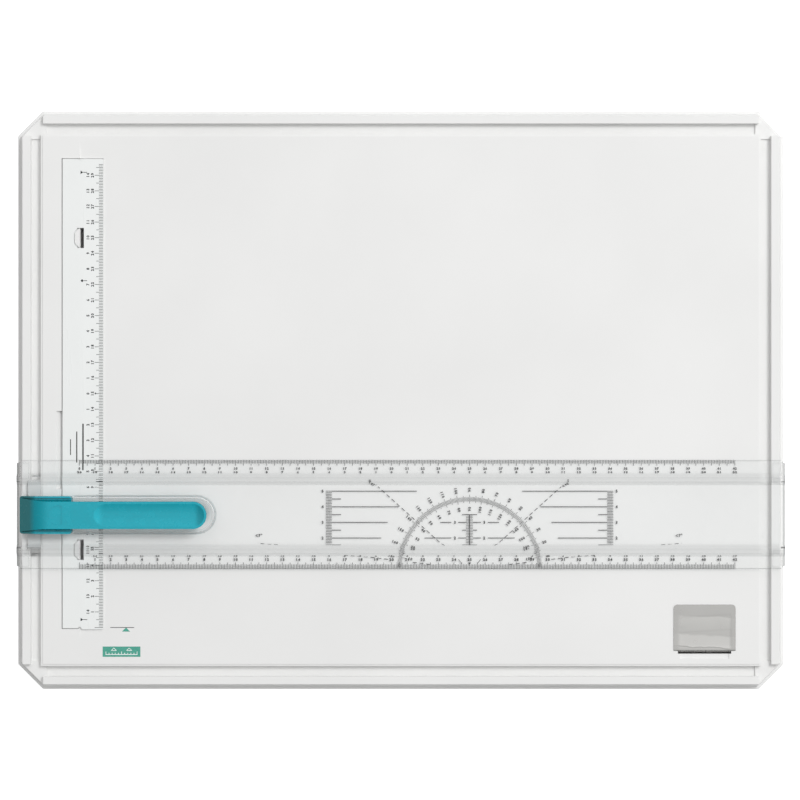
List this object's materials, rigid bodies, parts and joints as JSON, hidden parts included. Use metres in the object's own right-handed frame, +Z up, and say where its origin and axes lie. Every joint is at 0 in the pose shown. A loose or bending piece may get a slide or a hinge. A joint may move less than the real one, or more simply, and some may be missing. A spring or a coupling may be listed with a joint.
{
  "type": "portable drawing board",
  "caption": "Flat moulded drawing board for A3 sheets with edge rails and guide grooves, a rocking paper clamp rail, a steel corner clip and a sliding clear parallel ruler with a lever brake.",
  "frame": {"origin": "middle of the bounding box's bottom, on the plane of the rubber feet", "axes": "+X along the ruler and the board's long side, +Y away from the user, +Z up out of the drawing surface"},
  "size_m": [0.494, 0.373, 0.0308],
  "materials": {
    "board_white": "moulded, fine satin grain",
    "cover_white": "moulded, matte",
    "rail_white": "smooth, printed scale",
    "spring_steel": "rolled spring steel",
    "clip_steel": "bright rolled sheet",
    "clear_plastic": "clear moulded styrene, printed scales",
    "shoe_plastic": "translucent white, smooth",
    "lever_teal": "moulded, satin",
    "screw_steel": "zinc plated",
    "rubber": "soft, matte",
    "print_dark": "printed scale ink",
    "print_green": "printed ink"
  },
  "bodies": {
    "board": {"top_shell": "board_white", "back_cover": "cover_white", "clamp_leaf_spring_upper": "spring_steel", "clamp_leaf_spring_lower": "spring_steel", "cover_screw_1": "screw_steel", "cover_screw_2": "screw_steel", "cover_screw_3": "screw_steel", "cover_screw_4": "screw_steel", "cover_screw_5": "screw_steel", "cover_screw_6": "screw_steel", "cover_screw_7": "screw_steel", "cover_screw_8": "screw_steel", "rubber_foot_1": "rubber", "rubber_foot_2": "rubber", "rubber_foot_3": "rubber", "rubber_foot_4": "rubber"},
    "clamp_rail": {"paper_clamp_rail": "rail_white"},
    "corner_clip": {"corner_clip": "clip_steel"},
    "ruler": {"ruler_body": "clear_plastic", "guide_shoe": "shoe_plastic", "lever_pivot_pin": "spring_steel", "lever_spring": "spring_steel"},
    "lever": {"lever": "lever_teal", "brake_pad": "rubber"}
  },
  "joints": [
    {"name": "ruler_slide", "type": "slide", "parent": "board", "child": "ruler", "axis": [0, 1, 0], "range_m": [-0.0718, 0.2186]},
    {"name": "lever_press", "type": "hinge", "parent": "ruler", "child": "lever", "pos_m": [-0.213, -0.0734, 0.0221], "axis": [0, 1, 0], "range_deg": [0, 3], "stiffness_Nm_per_rad": 1.2, "springref_deg": -2.86, "deforming": ["lever_spring"]},
    {"name": "clamp_rail_tilt", "type": "hinge", "parent": "board", "child": "clamp_rail", "pos_m": [-0.2064, 0.004, 0.0159], "axis": [0, -1, 0], "range_deg": [0, 3.5], "stiffness_Nm_per_rad": 2, "springref_deg": -3.44},
    {"name": "corner_clip_lift", "type": "hinge", "parent": "board", "child": "corner_clip", "pos_m": [0.19475, -0.1612, 0.015], "axis": [1, 0, 0], "range_deg": [0, 1], "stiffness_Nm_per_rad": 0.4, "springref_deg": -3.44}
  ]
}
